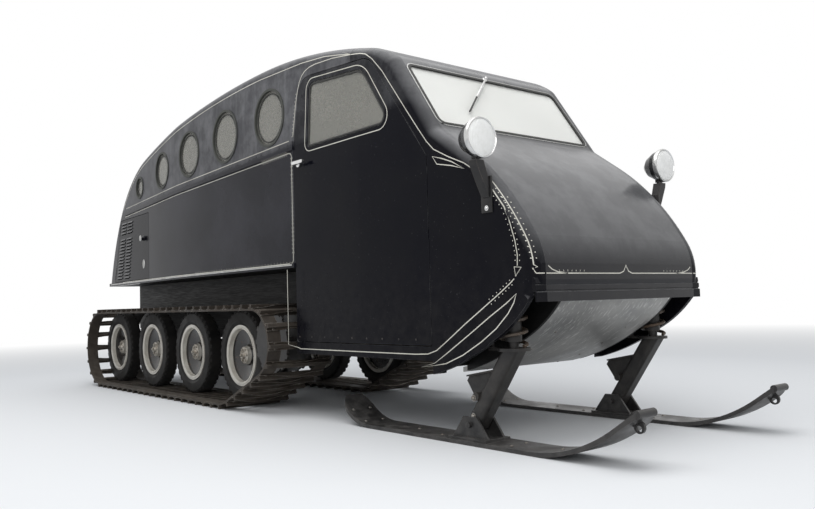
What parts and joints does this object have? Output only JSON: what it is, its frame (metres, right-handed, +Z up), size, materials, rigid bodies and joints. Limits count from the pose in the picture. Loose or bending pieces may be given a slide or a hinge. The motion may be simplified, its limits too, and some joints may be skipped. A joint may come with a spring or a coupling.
{
  "type": "snowcoach",
  "caption": "Wooden snow bus with rounded roof, side portholes, two front doors, a bowed nose, two long steering skis and rubber tracks round pneumatic road wheels.",
  "frame": {"origin": "middle of the footprint on the ground, under the middle of the overall box", "axes": "+X forward towards the ski tips, +Y to the vehicle's left, +Z up"},
  "size_m": [6.1, 1.7, 2.3081],
  "materials": {
    "body_paint": "very dark blue-black gloss paint on plywood",
    "black_steel": "black painted steel",
    "window_glass": "clear safety glass",
    "bright_trim": "plated steel",
    "rubber_trim": "black rubber",
    "raw_plywood": "dark stained plywood",
    "cast_engine": "cast iron",
    "wheel_paint": "pale painted pressed steel",
    "tyre_rubber": "worn tyre rubber",
    "track_belt": "rubber belt with steel cross links",
    "ski_steel": "dark worn steel",
    "black_plastic": "black moulded plastic",
    "seat_leather": "dark brown upholstery"
  },
  "bodies": {
    "coach": {"roof_panel": "body_paint", "rear_panel": "body_paint", "windshield_frame": "body_paint", "nose_panel": "body_paint", "belly_pan": "black_steel", "right_side_panel": "body_paint", "left_side_panel": "body_paint", "right_cheek_panel": "body_paint", "left_cheek_panel": "body_paint", "windshield_glass": "window_glass", "porthole_glass": "window_glass", "headlamp_lenses": "window_glass", "porthole_rims": "rubber_trim", "body_tub": "raw_plywood", "engine_block": "cast_engine", "frame_rails": "black_steel", "road_axles": "black_steel", "drive_axle": "black_steel", "wheel_discs": "wheel_paint", "right_tyres": "tyre_rubber", "left_tyres": "tyre_rubber", "right_track": "track_belt", "left_track": "track_belt", "kingpin_housings": "black_steel", "ski_springs": "black_steel", "steering_column": "black_steel", "front_seat": "seat_leather", "side_benches": "seat_leather", "headlamps": "bright_trim", "headlamp_brackets": "black_steel", "wiper": "black_steel"},
    "right_door_body": {"right_door": "body_paint", "right_door_glass": "window_glass", "right_door_handle": "bright_trim"},
    "left_door_body": {"left_door": "body_paint", "left_door_glass": "window_glass", "left_door_handle": "bright_trim"},
    "right_engine_door_body": {"right_engine_door": "body_paint"},
    "left_engine_door_body": {"left_engine_door": "body_paint"},
    "right_ski_body": {"right_ski": "ski_steel", "right_ski_leg": "black_steel"},
    "left_ski_body": {"left_ski": "ski_steel", "left_ski_leg": "black_steel"},
    "tie_rod_body": {"tie_rod": "black_steel"},
    "steering_wheel_body": {"steering_wheel": "black_plastic"}
  },
  "joints": [
    {"name": "right_steer", "type": "hinge", "parent": "coach", "child": "right_ski_body", "pos_m": [2.33, -0.57, 0.5], "axis": [0, 0, 1], "range_deg": [-25, 25]},
    {"name": "left_steer", "type": "hinge", "parent": "coach", "child": "left_ski_body", "pos_m": [2.33, 0.57, 0.5], "axis": [0, 0, 1], "range_deg": [-25, 25]},
    {"name": "tie_rod_swing", "type": "hinge", "parent": "right_ski_body", "child": "tie_rod_body", "pos_m": [2.19, -0.57, 0.52], "axis": [0, 0, 1], "range_deg": [-25, 25]},
    {"name": "steering_wheel_turn", "type": "hinge", "parent": "coach", "child": "steering_wheel_body", "pos_m": [1.5, 0.33, 1.29], "axis": [-0.5534, 0, 0.8329], "range_deg": [-300, 300]},
    {"name": "right_door_open", "type": "hinge", "parent": "coach", "child": "right_door_body", "pos_m": [1.8825, -0.69119, 0.9], "axis": [0, 0, 1], "range_deg": [0, 75]},
    {"name": "left_door_open", "type": "hinge", "parent": "coach", "child": "left_door_body", "pos_m": [1.8825, 0.69119, 0.9], "axis": [0, 0, -1], "range_deg": [0, 75]},
    {"name": "right_engine_door_open", "type": "hinge", "parent": "coach", "child": "right_engine_door_body", "pos_m": [-2.8875, -0.61165, 0.972], "axis": [-0.3363, 0.0176, -0.9416], "range_deg": [0, 70]},
    {"name": "left_engine_door_open", "type": "hinge", "parent": "coach", "child": "left_engine_door_body", "pos_m": [-2.8875, 0.61165, 0.972], "axis": [0.3363, 0.0176, 0.9416], "range_deg": [0, 70]}
  ],
  "couplings": [
    {"joint": "left_steer", "follows": "right_steer", "ratio": 1},
    {"joint": "tie_rod_swing", "follows": "right_steer", "ratio": -1},
    {"joint": "steering_wheel_turn", "follows": "right_steer", "ratio": 12}
  ]
}
